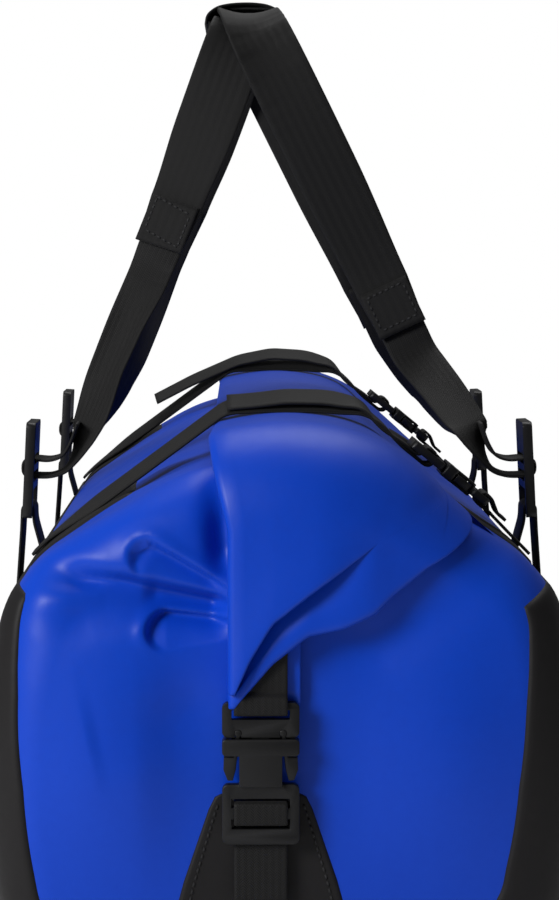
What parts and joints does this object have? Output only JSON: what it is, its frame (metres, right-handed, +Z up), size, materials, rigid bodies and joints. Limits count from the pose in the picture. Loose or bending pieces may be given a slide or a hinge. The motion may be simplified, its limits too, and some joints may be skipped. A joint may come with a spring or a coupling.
{
  "type": "dry bag",
  "caption": "Roll-top dry duffel with rolled and folded mouth, end and compression buckles, and two carry handles held by a wrap.",
  "frame": {"origin": "centre of the floor that the bag stands on", "axes": "+Z up; Y along the bag, with the near end at -Y; X across it, with the strap buckles on the +X shoulder"},
  "size_m": [0.292, 0.5886, 0.4815],
  "materials": {
    "shell_fabric": "smooth satin coated fabric, cobalt blue",
    "panel_fabric": "matt coated fabric with a fine cloth grain, near black",
    "webbing": "woven flat webbing, black",
    "band_webbing": "wide woven webbing, black",
    "wrap_fabric": "padded woven wrap, black",
    "hook_tape": "hook-and-loop tape, black",
    "buckle_plastic": "satin moulded acetal, black",
    "strip_plastic": "plain extruded strip, grey"
  },
  "bodies": {
    "bag": {"bag_shell": "shell_fabric", "bottom_panel": "panel_fabric", "closure_roll": "shell_fabric", "far_anchor_web": "webbing", "far_end_male": "buckle_plastic", "far_end_patch": "panel_fabric", "far_left_side_web": "webbing", "far_right_side_web": "webbing", "far_roll_web": "webbing", "far_strap": "webbing", "far_strap_anchor": "webbing", "far_strap_male": "buckle_plastic", "mouth_strip_lower": "strip_plastic", "mouth_strip_upper": "strip_plastic", "near_anchor_web": "webbing", "near_end_male": "buckle_plastic", "near_end_patch": "panel_fabric", "near_left_side_web": "webbing", "near_right_side_web": "webbing", "near_roll_web": "webbing", "near_strap": "webbing", "near_strap_anchor": "webbing", "near_strap_male": "buckle_plastic", "side_panel_left": "panel_fabric", "side_panel_right": "panel_fabric", "strap_patches_left": "panel_fabric", "strap_patches_right": "panel_fabric"},
    "near_end_socket": {"near_end_socket": "buckle_plastic"},
    "near_end_prong_left": {"near_end_prong_left": "buckle_plastic"},
    "near_end_prong_right": {"near_end_prong_right": "buckle_plastic"},
    "near_strap_socket": {"near_strap_socket": "buckle_plastic"},
    "near_strap_prong_left": {"near_strap_prong_left": "buckle_plastic"},
    "near_strap_prong_right": {"near_strap_prong_right": "buckle_plastic"},
    "far_end_socket": {"far_end_socket": "buckle_plastic"},
    "far_end_prong_left": {"far_end_prong_left": "buckle_plastic"},
    "far_end_prong_right": {"far_end_prong_right": "buckle_plastic"},
    "far_strap_socket": {"far_strap_socket": "buckle_plastic"},
    "far_strap_prong_left": {"far_strap_prong_left": "buckle_plastic"},
    "far_strap_prong_right": {"far_strap_prong_right": "buckle_plastic"},
    "left_handle": {"left_handle_band": "band_webbing", "left_handle_tabs": "band_webbing", "near_left_handle_web": "webbing", "near_left_ladder_lock": "buckle_plastic", "far_left_handle_web": "webbing", "far_left_ladder_lock": "buckle_plastic", "wrap_base": "wrap_fabric"},
    "right_handle": {"right_handle_band": "band_webbing", "right_handle_tabs": "band_webbing", "near_right_handle_web": "webbing", "near_right_ladder_lock": "buckle_plastic", "far_right_handle_web": "webbing", "far_right_ladder_lock": "buckle_plastic"},
    "wrap": {"wrap_flap": "wrap_fabric", "hook_strip": "hook_tape"}
  },
  "joints": [
    {"name": "near_end_release", "type": "slide", "parent": "bag", "child": "near_end_socket", "axis": [0, 0, -1], "range_m": [0, 0.024], "deforming": ["near_anchor_web", "near_end_prong_left", "near_end_prong_right"]},
    {"name": "near_strap_release", "type": "slide", "parent": "bag", "child": "near_strap_socket", "axis": [0.776, 0, -0.6307], "range_m": [0, 0.02], "deforming": ["near_strap_anchor", "near_strap_prong_left", "near_strap_prong_right"]},
    {"name": "near_end_prong_left_squeeze", "type": "hinge", "parent": "bag", "child": "near_end_prong_left", "pos_m": [-0.0215, -0.2858, 0.1298], "axis": [0, -1, 0], "range_deg": [0, 10], "stiffness_Nm_per_rad": 0.4},
    {"name": "near_strap_prong_left_squeeze", "type": "hinge", "parent": "bag", "child": "near_strap_prong_left", "pos_m": [0.0791, -0.2034, 0.24679], "axis": [0.6307, 0, 0.776], "range_deg": [0, 10], "stiffness_Nm_per_rad": 0.4},
    {"name": "near_end_prong_right_squeeze", "type": "hinge", "parent": "bag", "child": "near_end_prong_right", "pos_m": [-0.0005, -0.2858, 0.1298], "axis": [0, 1, 0], "range_deg": [0, 10], "stiffness_Nm_per_rad": 0.4},
    {"name": "near_strap_prong_right_squeeze", "type": "hinge", "parent": "bag", "child": "near_strap_prong_right", "pos_m": [0.0791, -0.1866, 0.24679], "axis": [-0.6307, 0, -0.776], "range_deg": [0, 10], "stiffness_Nm_per_rad": 0.4},
    {"name": "far_end_release", "type": "slide", "parent": "bag", "child": "far_end_socket", "axis": [0, 0, -1], "range_m": [0, 0.024], "deforming": ["far_anchor_web", "far_end_prong_left", "far_end_prong_right"]},
    {"name": "far_strap_release", "type": "slide", "parent": "bag", "child": "far_strap_socket", "axis": [0.776, 0, -0.6307], "range_m": [0, 0.02], "deforming": ["far_strap_anchor", "far_strap_prong_left", "far_strap_prong_right"]},
    {"name": "far_end_prong_left_squeeze", "type": "hinge", "parent": "bag", "child": "far_end_prong_left", "pos_m": [-0.0215, 0.2858, 0.1298], "axis": [0, -1, 0], "range_deg": [0, 10], "stiffness_Nm_per_rad": 0.4},
    {"name": "far_strap_prong_left_squeeze", "type": "hinge", "parent": "bag", "child": "far_strap_prong_left", "pos_m": [0.0791, 0.2034, 0.24679], "axis": [-0.6307, 0, -0.776], "range_deg": [0, 10], "stiffness_Nm_per_rad": 0.4},
    {"name": "far_end_prong_right_squeeze", "type": "hinge", "parent": "bag", "child": "far_end_prong_right", "pos_m": [-0.0005, 0.2858, 0.1298], "axis": [0, 1, 0], "range_deg": [0, 10], "stiffness_Nm_per_rad": 0.4},
    {"name": "far_strap_prong_right_squeeze", "type": "hinge", "parent": "bag", "child": "far_strap_prong_right", "pos_m": [0.0791, 0.1866, 0.24679], "axis": [0.6307, 0, 0.776], "range_deg": [0, 10], "stiffness_Nm_per_rad": 0.4},
    {"name": "left_handle_swing", "type": "hinge", "parent": "bag", "child": "left_handle", "pos_m": [-0.131, 0, 0.218], "axis": [0, -1, 0], "range_deg": [0, 140]},
    {"name": "right_handle_swing", "type": "hinge", "parent": "bag", "child": "right_handle", "pos_m": [0.131, 0, 0.218], "axis": [0, 1, 0], "range_deg": [0, 140]},
    {"name": "wrap_opening", "type": "hinge", "parent": "left_handle", "child": "wrap", "pos_m": [-0.0385, 0, 0.4737], "axis": [0, -1, 0], "range_deg": [0, 110]}
  ],
  "couplings": [
    {"joint": "right_handle_swing", "follows": "left_handle_swing", "ratio": 1}
  ]
}
